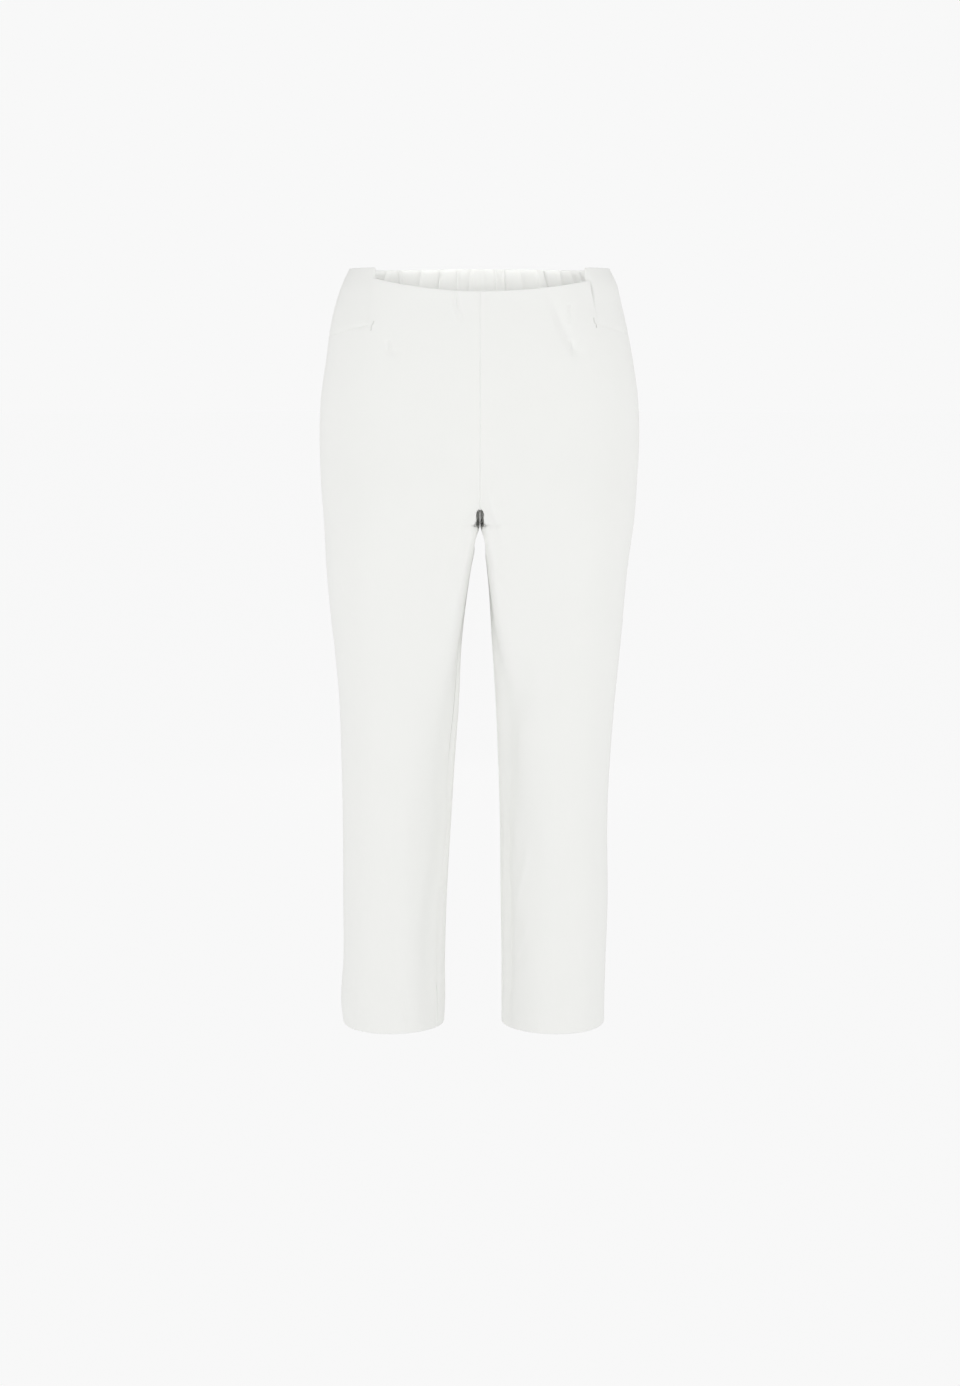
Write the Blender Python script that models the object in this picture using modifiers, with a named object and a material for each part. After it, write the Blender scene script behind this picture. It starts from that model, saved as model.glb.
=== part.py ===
"""Capri trousers, worn and empty: four leg panels, two pocket facings and an elastic waist casing.

Metres, +Z up. The origin is the centre of the waist opening at the middle of the elastic.
The front faces -Y, and the wearer's left is +X. Tables are in millimetres.

Every piece is cut from one surface. At each height a leg is an oval, with rounded
quarters of unlike depth at the front and the back. The inner front quarter has its own
squareness, and the inner side lies further forward than the outer one near the crotch.
Above the crotch the two ovals run into each other at the middle plane, so their cut edges
there are the centre seams, and those seams curve under to the crotch point as the ovals
draw apart.
"""

import math
from collections import namedtuple
from functools import lru_cache

import bmesh
import bpy
import numpy as np

MM = 0.001
RIGHT, LEFT = -1, 1
FRONT, BACK = 1, -1

# Heights of the landmarks, in millimetres from the middle of the elastic.
RIM_TOP = 17.0
RIM_FRONT_CENTRE = -8.0
RIM_BACK_RISE = 2.0
RIM_SPAN = 112.0
CROTCH = -255.0
HEM = -812.0

# The cloth.
WALL = 1.2
SEAM_GAP = 0.3
BAND_LAYERS = 2
HEM_BAND = 28.0
TOP_BAND = 30.0
BAND_STEP = 1.2

# One row for each section. The sides are distances from the middle plane, the gaps are
# from the middle plane to the inner leg, and front and back are depths from the middle
# of the leg. A turn carries the inseam forward round the leg, in degrees. Square is the
# power of the inner front quarter, 2 for a round one and more for a squarer one, and
# forward is how far the inner side lies to the front.
Section = namedtuple(
    "Section",
    "height right_side left_side right_gap left_gap front back middle"
    " right_turn left_turn square forward",
)
SECTIONS = [
    Section(30, 134, 133, 0, 0, 98, 99, 0, 0, 0, 2.25, 0),
    Section(17, 140, 139, 0, 0, 99, 100, 0, 0, 0, 2.25, 0),
    Section(0, 148, 147, 0, 0, 100, 101, 0, 0, 0, 2.25, 0),
    Section(-20, 155, 152, 0, 0, 102, 103, 1, 0, 0, 2.25, 0),
    Section(-45, 161, 158, 0, 0, 104, 107, 1, 0, 0, 2.25, 0),
    Section(-80, 166, 165, 0, 0, 107, 113, 2, 0, 0, 2.25, 0),
    Section(-120, 172, 171, 0, 0, 109, 120, 4, 0, 0, 2.3, 2),
    Section(-165, 174, 173, 0, 0, 110, 125, 6, 0, 0, 2.8, 14),
    Section(-210, 173, 171, 0, 0, 108, 122, 7, 0, 0, 3.6, 34),
    Section(-255, 170, 168, 0, 0, 103, 109, 8, 0, 0, 4.2, 42),
    Section(-300, 168, 162, 9, 7, 97, 98, 8, 2, 2, 4.0, 42),
    Section(-385, 161, 155, 20, 13, 86, 88, 6, 8, 4, 2.8, 36),
    Section(-450, 156, 149, 23, 17, 79, 81, 4, 17, 7, 2.3, 26),
    Section(-520, 154, 144, 28, 20, 74, 77, 3, 21, 8, 2.0, 18),
    Section(-585, 153, 141, 32, 22, 70, 74, 2, 14, 8, 1.85, 12),
    Section(-675, 153, 142, 37, 23, 67, 71, 2, 28, 11, 2.0, 8),
    Section(-745, 153, 140, 39, 24, 66, 69, 2, 30, 12, 2.0, 6),
    Section(-795, 155, 139, 39, 24, 66, 68, 2, 30, 12, 2.0, 6),
    Section(-812, 153, 139, 40, 24, 66, 68, 2, 30, 12, 2.0, 6),
]
ROUNDNESS = 2.25
SIDE_SEAM_TURN = math.radians(7)

# The crotch curve starts up the centre seams and ends in a small arch between the legs.
CURVE_TOP = -140.0
CURVE_POWER = 1.9
CURVE_SOFTNESS = 6.0
CROWN_LEVEL = -285.0
SPREAD_LEVEL = -345.0
ARCH_HALF_WIDTH = 6.0
ARCH_HEIGHT = 24.0
TINY = 1e-6

# Rows of the surface, from the waist down.
TOP_DROPS = (0, 8, 18, 30, 30 + BAND_STEP, 46, 64, 86, 112)
RIM_FADE = (31.0, 90.0)
RISE_TOP = -125.0
RISE_ROWS = 9
RISE_CROWDING = 2.5
LEG_DROPS = (1, 4, 12, 30, 60)
LEG_ROWS = 10

# Columns keep their distance from the side seam down the rise. The crotch curve takes
# its length out of the columns next to it, by a power of their share of the width. The
# power is lower where the curve takes much, so that the columns stay in order.
CURVE_CROWDING = 6.0
CROWDING_LIMIT = 0.8
LEAST_SHARE = 0.001

# Columns of a front panel, as the share of its width that so many of them reach: close at
# its two seams, and fairly close where the leg turns its inner corner. A back panel has one
# for each lip, foot and crest of its gathers, and two at these distances from each seam.
FRONT_COLUMNS = ((0, 0.0), (4, 0.08), (10, 0.34), (14, 0.66), (22, 0.96), (24, 1.0))
NEAR_SIDE = (4.0, 12.0)
NEAR_CENTRE = (4.5, 2.2)

# Gathers of the elastic: how far each pinch lies from the centre back seam along the
# waist, how deep it cuts into the puffs beside it, how wide it is and how far it runs down.
Gather = namedtuple("Gather", "side from_centre depth half_width length")
GATHERS = [
    Gather(RIGHT, 10, 1.9, 3.0, 80),
    Gather(RIGHT, 25, 1.3, 3.5, 60),
    Gather(RIGHT, 44, 1.5, 3.5, 95),
    Gather(RIGHT, 67, 1.3, 4.0, 70),
    Gather(RIGHT, 90, 2.0, 3.5, 110),
    Gather(RIGHT, 110, 1.2, 3.5, 65),
    Gather(RIGHT, 129, 1.7, 3.5, 90),
    Gather(RIGHT, 146, 1.3, 3.5, 60),
    Gather(RIGHT, 163, 1.5, 3.0, 75),
    Gather(LEFT, 12, 1.3, 3.5, 60),
    Gather(LEFT, 27, 2.0, 3.0, 90),
    Gather(LEFT, 46, 1.2, 4.0, 60),
    Gather(LEFT, 70, 2.0, 3.0, 115),
    Gather(LEFT, 92, 1.4, 4.0, 70),
    Gather(LEFT, 112, 1.7, 3.5, 85),
    Gather(LEFT, 131, 1.2, 3.5, 60),
    Gather(LEFT, 148, 1.6, 3.5, 95),
    Gather(LEFT, 164, 1.3, 3.0, 65),
]
PUFF = 2.0
PUFF_LENGTH = 100.0
PUFF_EASE = 12.0
CASING_HEIGHT = 38.0
CASING_DROPS = (0, 9, 20, 31, CASING_HEIGHT)

# Folds. Across runs from the side seam, 0, to the centre seam or inseam, 1. A fold has
# this share of its depth at its two ends.
FOLD_END_SHARE = 0.35
Fold = namedtuple(
    "Fold", "side facing across height end_across end_height half_width depth"
)
FOLDS = [
    Fold(LEFT, FRONT, 0.66, -11, 0.56, -73, 8, -1.8),
    Fold(RIGHT, FRONT, 0.55, -42, 0.60, -75, 9, -1.0),
    Fold(LEFT, FRONT, 0.90, -300, 0.82, -430, 11, -3.5),
    Fold(LEFT, FRONT, 0.82, -430, 0.90, -610, 11, -3.0),
    Fold(LEFT, FRONT, 0.89, -590, 0.89, -800, 10, -3.5),
    Fold(RIGHT, FRONT, 0.93, -300, 0.88, -560, 10, -2.0),
    Fold(RIGHT, FRONT, 0.87, -540, 0.86, -800, 11, -2.0),
    Fold(RIGHT, FRONT, 0.10, -390, 0.13, -740, 12, -1.6),
    Fold(LEFT, FRONT, 0.12, -330, 0.10, -560, 12, -1.6),
    Fold(RIGHT, BACK, 0.86, -265, 0.55, -320, 13, -3.0),
    Fold(LEFT, BACK, 0.86, -268, 0.58, -315, 13, -2.8),
    Fold(RIGHT, BACK, 0.80, -330, 0.70, -520, 14, -2.4),
    Fold(LEFT, BACK, 0.78, -340, 0.72, -560, 14, -2.6),
    Fold(RIGHT, BACK, 0.20, -440, 0.62, -465, 12, -2.2),
    Fold(LEFT, BACK, 0.25, -455, 0.66, -440, 12, -2.2),
    Fold(RIGHT, BACK, 0.45, -560, 0.40, -770, 14, -1.8),
    Fold(LEFT, BACK, 0.42, -580, 0.50, -780, 14, -1.8),
]

# The pocket mouth scoops the front panel's upper corner away: down from the waist, round
# a small bend and out to the side seam. Top and bend are distances from the middle plane,
# and the rise is how far the front's rim climbs from its centre to the mouth.
Mouth = namedtuple("Mouth", "top bend rim_rise")
MOUTHS = {RIGHT: Mouth(112, 117, 16.2), LEFT: Mouth(112, 122, 11.7)}
MOUTH_BEND_HEIGHT = -36.0
MOUTH_BEND_RADIUS = 9.0
MOUTH_BEND_STEPS = 5
MOUTH_SIDE_SLOPE = 0.3
CUTTER_SIDE = 220.0
CUTTER_TOP = 60.0
CUTTER_FRONT = -220.0
CUTTER_BACK = 60.0

# The facing reaches in behind the front panel. Its columns follow the mouth's edge, with
# a lip to each side of it, and it comes out flush with the front towards the side seam.
FACING_GAP = 0.7
FACING_LIP = 1.5
FACING_UNDERLAP = 30.0
FACING_OUTER_COLUMNS = 9
FACING_INNER_COLUMNS = 4
FACING_DROPS = (0, 8, 18, 30, 42, 52, 60, 68, 78, 90)
FACING_EASE_START = 8.0
FACING_EASE_HEIGHT = (2.0, 14.0)
FACING_BAND_EASE = (-48.0, -12.0)
FACING_TUCK = 5.0
FACING_FADE = (0.0, 60.0)

# A sample step for slopes, and how finely a section is measured along its length.
SLOPE_STEP = 0.5
ANGLE_STEP = 0.004
ARC_SAMPLES = 241


def clear_scene():
    for item in list(bpy.data.objects):
        bpy.data.objects.remove(item, do_unlink=True)


def collection(name):
    made = bpy.data.collections.new(name)
    bpy.context.scene.collection.children.link(made)
    return made


def ease(value, low, high):
    """0 below low, 1 above high, and a smooth rise between them."""
    share = np.clip((value - low) / (high - low), 0.0, 1.0)
    return share * share * (3.0 - 2.0 * share)


def through_rows(column, height):
    """A table column at any height: cubics through the rows, with slopes from their neighbours."""
    rows = SECTIONS[::-1]
    known = np.array([row.height for row in rows], float)
    values = np.array([getattr(row, column) for row in rows], float)
    slopes = np.gradient(values, known)
    height = np.clip(height, known[0], known[-1])
    low = np.clip(np.searchsorted(known, height) - 1, 0, len(known) - 2)
    span = known[low + 1] - known[low]
    share = (height - known[low]) / span
    square, cube = share**2, share**3
    return (
        (2 * cube - 3 * square + 1) * values[low]
        + (cube - 2 * square + share) * span * slopes[low]
        + (3 * square - 2 * cube) * values[low + 1]
        + (cube - square) * span * slopes[low + 1]
    )


def oval(side, height):
    """One leg's oval: its crown, its widths outside and inside the crown, and its depths.

    The crown is the foremost and hindmost point, at the middle plane over the hips and in
    the middle of the leg below them. Above the crotch the inner width reaches past the
    middle plane, by less and less, and so takes the cut there down the crotch curve.
    """
    word = "right" if side == RIGHT else "left"
    outer = through_rows(word + "_side", height)
    gap = np.maximum(through_rows(word + "_gap", height), 0.0)
    spread = gap * ease(-height, -CROTCH, -SPREAD_LEVEL)
    crown = (outer + spread) / 2 * ease(-height, -CURVE_TOP, -CROWN_LEVEL)
    run = np.clip((CURVE_TOP - height) / (CURVE_TOP - CROTCH), 0.0, 1.0)
    past = crown / np.maximum(run**CURVE_POWER, TINY) - crown
    past = np.hypot(past, CURVE_SOFTNESS) - CURVE_SOFTNESS
    return (
        crown,
        outer - crown,
        np.where(height > CROTCH, crown + past, crown - gap),
        through_rows("front", height),
        through_rows("back", height),
        through_rows("middle", height),
    )


def inner_limit(height):
    """How near the middle plane the cloth may come: half a seam, or the arch below the crotch."""
    below = np.clip((CROTCH - height) / ARCH_HEIGHT, 0.0, 1.0)
    return np.maximum(ARCH_HALF_WIDTH * np.sin(math.pi / 2 * below), SEAM_GAP / 2)


def rounded_square(height, angle):
    """A cosine and sine bent to the oval's squarer shape, with the inner front's own power."""
    reach, turn = np.cos(angle), np.sin(angle)
    inner_front = (reach < 0) & (turn > 0)
    power = np.where(inner_front, through_rows("square", height), ROUNDNESS)
    size = (np.abs(reach) ** power + np.abs(turn) ** power) ** (1.0 / power)
    return reach / size, turn / size


def surface(side, height, angle):
    """Points of the trousers. The angle is 0 at the side and grows round the front."""
    crown, outside, inside, front, back, middle = oval(side, height)
    reach, turn = rounded_square(height, angle)
    across = crown + np.where(reach > 0, outside, inside) * reach
    shifted = middle - through_rows("forward", height) * np.minimum(reach, 0.0) ** 4
    depth = np.where(turn > 0, front, back)
    return np.stack(
        [
            side * np.maximum(across, inner_limit(height)),
            shifted - depth * turn,
            height + 0 * angle,
        ],
        axis=-1,
    )


def outward(side, height, angle):
    """Unit normals of the surface, from its slopes."""
    round_it = surface(side, height, angle + ANGLE_STEP) - surface(
        side, height, angle - ANGLE_STEP
    )
    up_it = surface(side, height + SLOPE_STEP, angle) - surface(
        side, height - SLOPE_STEP, angle
    )
    normal = -side * np.cross(round_it, up_it)
    return normal / np.linalg.norm(normal, axis=-1, keepdims=True)


def seam_angles(side, facing, height):
    """The angles of a panel's side seam and of its centre seam or inseam at one height."""
    start = -SIDE_SEAM_TURN
    if height > CROTCH:
        crown, outside, inside = oval(side, height)[:3]
        cut = SEAM_GAP / 2 - crown
        reach = float(np.clip(cut / (outside if cut > 0 else inside), -1.0, 1.0))
        inner_front = reach < 0 and facing == FRONT
        power = float(through_rows("square", height)) if inner_front else ROUNDNESS
        turn = (1.0 - abs(reach) ** power) ** (1.0 / power)
        return start, facing * math.atan2(turn, reach)
    word = "right_turn" if side == RIGHT else "left_turn"
    turn = math.radians(float(through_rows(word, height)))
    return start, facing * math.pi - turn


@lru_cache(maxsize=None)
def measured_section(side, facing, height):
    """Finely spaced angles from the side seam inwards, and the distance to each."""
    start, end = seam_angles(side, facing, height)
    angles = np.linspace(start, end, ARC_SAMPLES)
    points = surface(side, np.full(ARC_SAMPLES, float(height)), angles)
    steps = np.linalg.norm(np.diff(points, axis=0), axis=1)
    return angles, np.concatenate([[0.0], np.cumsum(steps)])


def even_width(side, facing, height):
    """A panel's width as it would be without the sudden hook of the crotch curve."""
    if not CROTCH < height < CURVE_TOP:
        return measured_section(side, facing, height)[1][-1]
    above = measured_section(side, facing, CURVE_TOP)[1][-1]
    below = measured_section(side, facing, CROTCH)[1][-1]
    return above + (below - above) * ease(-height, -CURVE_TOP, -CROTCH)


def column_angles(side, facing, height, across):
    """Angles of the columns at one height, from their shares of the panel's width."""
    angles, run = measured_section(side, facing, height)
    first = SEAM_GAP / 2
    last = run[-1] - (SEAM_GAP / 2 if height <= CROTCH else 0.0)
    even = even_width(side, facing, height)
    missing = max((even - last) / even, LEAST_SHARE)
    power = min(CURVE_CROWDING, CROWDING_LIMIT / missing)
    distance = first + across * (even - first) + across**power * (last - even)
    return np.interp(distance, run, angles)


def waist_length(side):
    return measured_section(side, BACK, RIM_TOP)[1][-1]


def gather_relief(side, across, drop):
    """Puffs of the gathered waist, cut by a pinch at each gather."""
    length = waist_length(side)
    from_centre = (1.0 - across) * length
    seams = ease(from_centre, 0, PUFF_EASE) * ease(length - from_centre, 0, PUFF_EASE)
    relief = PUFF * (1.0 - ease(drop, 0, PUFF_LENGTH))
    for gather in GATHERS:
        if gather.side != side:
            continue
        off = (from_centre - gather.from_centre) / gather.half_width
        relief = relief - gather.depth * np.exp(-(off**2)) * (
            1.0 - ease(drop, 0, gather.length)
        )
    return seams * relief


def fold_relief(side, facing, across, height, width):
    """Troughs along the folds: a soft valley round each line, fading past its ends."""
    relief = np.zeros(np.broadcast(across, height).shape)
    for fold in FOLDS:
        if (fold.side, fold.facing) != (side, facing):
            continue
        line = np.array(
            [(fold.end_across - fold.across) * width, fold.end_height - fold.height]
        )
        off = np.stack([(across - fold.across) * width, height - fold.height], axis=-1)
        along = np.clip(off @ line / (line @ line), 0.0, 1.0)
        away = np.linalg.norm(off - along[..., None] * line, axis=-1)
        swell = FOLD_END_SHARE + (1.0 - FOLD_END_SHARE) * np.sin(math.pi * along)
        relief = relief + fold.depth * swell * np.exp(-((away / fold.half_width) ** 2))
    return relief


def rim_height(side, facing, x):
    """Height of the cut top edge: a dip at the front, almost level at the back."""
    share = np.abs(x) / RIM_SPAN
    if facing == FRONT:
        return RIM_FRONT_CENTRE + MOUTHS[side].rim_rise * share**2
    return RIM_TOP + RIM_BACK_RISE * np.clip(1.0 - share**2, 0.0, 1.0)


def row_heights():
    """Nominal heights of the rows of a panel, and how far each lies below the rim."""
    top = [RIM_TOP - drop for drop in TOP_DROPS]
    steps = [(RISE_ROWS - k) / RISE_ROWS for k in range(RISE_ROWS + 1)]
    rise = [CROTCH + (RISE_TOP - CROTCH) * share**RISE_CROWDING for share in steps]
    leg = [CROTCH - drop for drop in LEG_DROPS]
    band = HEM + HEM_BAND
    legs = list(np.linspace(leg[-1], band + BAND_STEP, LEG_ROWS + 1)[1:])
    heights = np.array(top + rise + leg + legs + [band, HEM + HEM_BAND / 2, HEM])
    return heights, RIM_TOP - heights


def front_columns():
    counts, shares = zip(*FRONT_COLUMNS)
    return np.interp(np.arange(counts[-1] + 1), counts, shares)


def back_columns(side):
    """Columns at the foot, both lips and the crest beside each gather, side seam first."""
    length = waist_length(side)
    pinches = sorted(
        ((1.0 - g.from_centre / length, g.half_width / length) for g in GATHERS if g.side == side)
    )
    columns = [0.0] + [away / length for away in NEAR_SIDE]
    for (pinch, lip), following in zip(pinches, pinches[1:] + [None]):
        columns += [pinch - lip, pinch, pinch + lip]
        if following:
            columns.append((pinch + following[0]) / 2)
    return np.array(columns + [1.0 - away / length for away in NEAR_CENTRE] + [1.0])


def panel_row(side, facing, height, drop, across):
    """One row of a panel's outer points."""
    angles = column_angles(side, facing, height, across)
    level = np.full(len(across), float(height))
    x = surface(side, level, angles)[:, 0]
    fade = 1.0 - ease(drop, *RIM_FADE)
    level = level + fade * (rim_height(side, facing, x) - RIM_TOP)
    width = even_width(side, facing, height)
    relief = fold_relief(side, facing, across, level, width)
    if facing == BACK:
        relief = relief + gather_relief(side, across, drop)
    return surface(side, level, angles) + relief[:, None] * outward(side, level, angles)


def faces_between(upper, lower):
    """Faces from one row's point numbers to the next row's, which may be half as many."""
    step = (len(upper) - 1) // (len(lower) - 1)
    return [
        tuple(upper[j * step : (j + 1) * step + 1]) + (lower[j + 1], lower[j])
        for j in range(len(lower) - 1)
    ]


def make_object(name, rows, turned, parts, material, weights=None):
    """A mesh through rows of points, with a weight for each row where its wall varies."""
    points, numbers = [], []
    for row in rows:
        numbers.append(list(range(len(points), len(points) + len(row))))
        points += [tuple(point * MM) for point in row]
    faces = [face for pair in zip(numbers, numbers[1:]) for face in faces_between(*pair)]
    if turned:
        faces = [face[:1] + face[:0:-1] for face in faces]
    mesh = bpy.data.meshes.new(name)
    mesh.from_pydata(points, [], faces)
    mesh.shade_smooth()
    mesh.materials.append(material)
    item = bpy.data.objects.new(name, mesh)
    parts.objects.link(item)
    if weights is not None:
        group = item.vertex_groups.new(name="wall")
        for row, weight in zip(numbers, weights):
            group.add(row, weight, "REPLACE")
    return item


def add_wall(item, thickness, group=None):
    """Thickens a piece inwards from its outer points."""
    wall = item.modifiers.new("wall", "SOLIDIFY")
    wall.thickness = thickness * MM
    wall.offset = -1
    if group:
        wall.vertex_group = group


def cloth(name, colour):
    material = bpy.data.materials.new(name)
    material.use_nodes = True
    shader = material.node_tree.nodes["Principled BSDF"]
    shader.inputs["Base Color"].default_value = (*colour, 1.0)
    shader.inputs["Roughness"].default_value = 0.85
    shader.inputs["Metallic"].default_value = 0.0
    return material


def leg_panel(side, facing, parts):
    """A front or back leg from waist to hem, with a doubled band at the hem and, in front, the top."""
    word = ("front_" if facing == FRONT else "back_") + ("right" if side == RIGHT else "left")
    heights, drops = row_heights()
    fine = front_columns() if facing == FRONT else back_columns(side)
    rows, weights = [], []
    for height, drop in zip(heights, drops):
        coarse = facing == BACK and drop > TOP_DROPS[-1]
        rows.append(panel_row(side, facing, height, drop, fine[::2] if coarse else fine))
        doubled = height <= HEM + HEM_BAND or (facing == FRONT and drop <= TOP_BAND)
        weights.append(1.0 if doubled else 1.0 / BAND_LAYERS)
    item = make_object(
        word, rows, side * facing < 0, parts, cloth(word + "_cloth", (0.80, 0.80, 0.78)), weights
    )
    add_wall(item, WALL * BAND_LAYERS, "wall")
    return item


def mouth_edge(side, height):
    """Distance of the mouth's upright edge from the middle plane."""
    mouth = MOUTHS[side]
    lean = (mouth.bend - mouth.top) / (RIM_TOP - MOUTH_BEND_HEIGHT)
    return mouth.top + lean * (RIM_TOP - np.maximum(height, MOUTH_BEND_HEIGHT))


def mouth_foot(side, x):
    """Height of the mouth's lower edge, which slopes down from the bend to the side seam."""
    start = MOUTHS[side].bend + MOUTH_BEND_RADIUS
    return MOUTH_BEND_HEIGHT - MOUTH_BEND_RADIUS - MOUTH_SIDE_SLOPE * (x - start)


def pocket_outline(side):
    """The mouth's outline in x and height: down, round the bend, out past the side and back."""
    outline = [(mouth_edge(side, CUTTER_TOP), CUTTER_TOP)]
    for k in range(MOUTH_BEND_STEPS + 1):
        turn = math.pi / 2 * k / MOUTH_BEND_STEPS
        outline.append(
            (
                MOUTHS[side].bend + MOUTH_BEND_RADIUS * (1 - math.cos(turn)),
                MOUTH_BEND_HEIGHT - MOUTH_BEND_RADIUS * math.sin(turn),
            )
        )
    outline += [(CUTTER_SIDE, mouth_foot(side, CUTTER_SIDE)), (CUTTER_SIDE, CUTTER_TOP)]
    return [(side * x, height) for x, height in outline]


def pocket_cutter(side, cutters):
    """A prism on the mouth's outline, run through the front panel from front to back."""
    shape = bmesh.new()
    corners = [shape.verts.new((x * MM, CUTTER_FRONT * MM, z * MM)) for x, z in pocket_outline(side)]
    face = shape.faces.new(corners)
    grown = bmesh.ops.extrude_face_region(shape, geom=[face])["geom"]
    moved = [piece for piece in grown if isinstance(piece, bmesh.types.BMVert)]
    bmesh.ops.translate(shape, verts=moved, vec=(0.0, (CUTTER_BACK - CUTTER_FRONT) * MM, 0.0))
    bmesh.ops.recalc_face_normals(shape, faces=shape.faces)
    mesh = bpy.data.meshes.new("pocket_mouth")
    shape.to_mesh(mesh)
    shape.free()
    cutter = bpy.data.objects.new("pocket_mouth", mesh)
    cutter.hide_render = True
    cutter.display_type = "WIRE"
    cutters.objects.link(cutter)
    return cutter


def cut_pocket(panel, side, cutters):
    cut = panel.modifiers.new("pocket mouth", "BOOLEAN")
    cut.operation = "DIFFERENCE"
    cut.object = pocket_cutter(side, cutters)


def facing_row(side, drop):
    """One row of a facing's outer points: columns out to the mouth's edge, then those inside it."""
    height = RIM_TOP - drop
    angles, run = measured_section(side, FRONT, height)
    across = np.abs(surface(side, np.full(len(angles), height), angles)[:, 0])
    front = angles > 0
    edge = np.interp(-mouth_edge(side, height), -across[front], run[front])
    outer = np.linspace(SEAM_GAP / 2, edge - FACING_LIP, FACING_OUTER_COLUMNS)
    inner = np.linspace(edge + FACING_LIP, edge + FACING_UNDERLAP, FACING_INNER_COLUMNS)
    distance = np.concatenate([outer, inner])
    columns = np.interp(distance, run, angles)
    level = np.full(len(distance), height)
    x = surface(side, level, columns)[:, 0]
    hidden = distance > edge
    front_rim = rim_height(side, FRONT, x)
    rim = np.where(hidden, front_rim - FACING_TUCK, RIM_TOP)
    level = level + (1.0 - ease(drop, *FACING_FADE)) * (rim - RIM_TOP)
    above = ease(level - mouth_foot(side, np.abs(x)), *FACING_EASE_HEIGHT)
    flush = above * (1.0 - ease(distance, FACING_EASE_START, edge - FACING_LIP))
    band = ease(level - (front_rim - TOP_BAND), *FACING_BAND_EASE)
    relief = fold_relief(side, FRONT, distance / run[-1], level, run[-1])
    relief = relief - (WALL * (1.0 + (BAND_LAYERS - 1) * band) + FACING_GAP) * (1.0 - flush)
    return surface(side, level, columns) + relief[:, None] * outward(side, level, columns)


def pocket_facing(side, parts):
    """The hip piece behind the mouth: flush at the side seam, and under the front panel elsewhere."""
    word = "pocket_facing_" + ("right" if side == RIGHT else "left")
    rows = [facing_row(side, drop) for drop in FACING_DROPS]
    item = make_object(word, rows, side < 0, parts, cloth(word + "_cloth", (0.79, 0.79, 0.77)))
    add_wall(item, WALL)
    return item


def casing_half(side, drop):
    """One row of the casing's outer points on one side, from the side seam to the centre back."""
    across = back_columns(side)
    height = RIM_TOP - drop
    angles = column_angles(side, BACK, height, across)
    level = np.full(len(across), height)
    x = surface(side, level, angles)[:, 0]
    level = level + rim_height(side, BACK, x) - RIM_TOP
    depth = WALL + SEAM_GAP + gather_relief(side, across, drop)
    return surface(side, level, angles) - depth[:, None] * outward(side, level, angles)


def waist_casing(parts):
    """The inner layer of the elastic casing, whose puffs stand inwards between the same pinches."""
    rows = []
    for drop in CASING_DROPS:
        right, left = casing_half(RIGHT, drop), casing_half(LEFT, drop)
        middle = (right[-1:] + left[-1:]) / 2
        rows.append(np.concatenate([right[:-1], middle, left[-2::-1]]))
    item = make_object(
        "waist_casing", rows, False, parts, cloth("waist_casing_cloth", (0.78, 0.78, 0.76))
    )
    add_wall(item, WALL)
    return item


def main():
    clear_scene()
    parts = collection("capri_trousers")
    cutters = collection("cutters")
    for side in (RIGHT, LEFT):
        cut_pocket(leg_panel(side, FRONT, parts), side, cutters)
        leg_panel(side, BACK, parts)
        pocket_facing(side, parts)
    waist_casing(parts)


main()
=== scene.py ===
# Capri trousers in plain off-white cloth, worn and empty: the fine surface of every piece.
# Sizes are in millimetres, and those of patterns, camera, lamps and floor in metres.
# The wearer's left is +X, the front faces -Y, and z is 0 at the middle of the waist elastic.
import math

import bpy
import numpy as np
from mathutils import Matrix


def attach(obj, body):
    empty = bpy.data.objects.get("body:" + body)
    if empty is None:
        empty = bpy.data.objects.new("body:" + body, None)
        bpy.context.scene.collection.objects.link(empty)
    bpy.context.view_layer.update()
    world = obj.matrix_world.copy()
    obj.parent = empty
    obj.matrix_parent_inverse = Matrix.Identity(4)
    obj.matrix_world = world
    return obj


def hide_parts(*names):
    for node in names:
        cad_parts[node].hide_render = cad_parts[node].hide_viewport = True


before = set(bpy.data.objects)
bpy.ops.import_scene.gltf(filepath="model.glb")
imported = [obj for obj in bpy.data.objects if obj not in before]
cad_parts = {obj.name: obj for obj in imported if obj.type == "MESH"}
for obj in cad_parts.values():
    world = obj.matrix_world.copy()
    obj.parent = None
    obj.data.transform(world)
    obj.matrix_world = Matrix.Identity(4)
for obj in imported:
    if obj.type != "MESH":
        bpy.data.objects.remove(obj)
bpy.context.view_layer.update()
print("frame loaded:", ", ".join(sorted(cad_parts)))

mm = 0.001
right, left = -1, 1
front, back = 1, -1
farAway = 1000.0  # past every edge of the cloth

# The cut, as the solids have it.
cut = {
    "rimTop": 17.0,
    "rimFront": -8.0,
    "rimRise": {right: 16.2, left: 11.7},
    "rimBackRise": 2.0,
    "rimSpan": 112.0,
    "rimFade": (31.0, 90.0),
    "crotch": -255.0,
    "hem": -812.0,
    "seamGap": 0.02,
    "roundness": 2.25,
    "forwardPower": 4,
    "sideTurn": math.radians(7),
    "curveTop": -140.0,
    "curvePower": 1.9,
    "curveSoftness": 6.0,
    "curveStart": 1e-6,
    "curveCrowding": 6.0,
    "crowdingLimit": 0.8,
    "leastMissing": 1e-3,
    "crownLevel": -285.0,
    "spreadLevel": -345.0,
    "archHalfWidth": 6.0,
    "archHeight": 24.0,
    "samples": 321,
}

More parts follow.
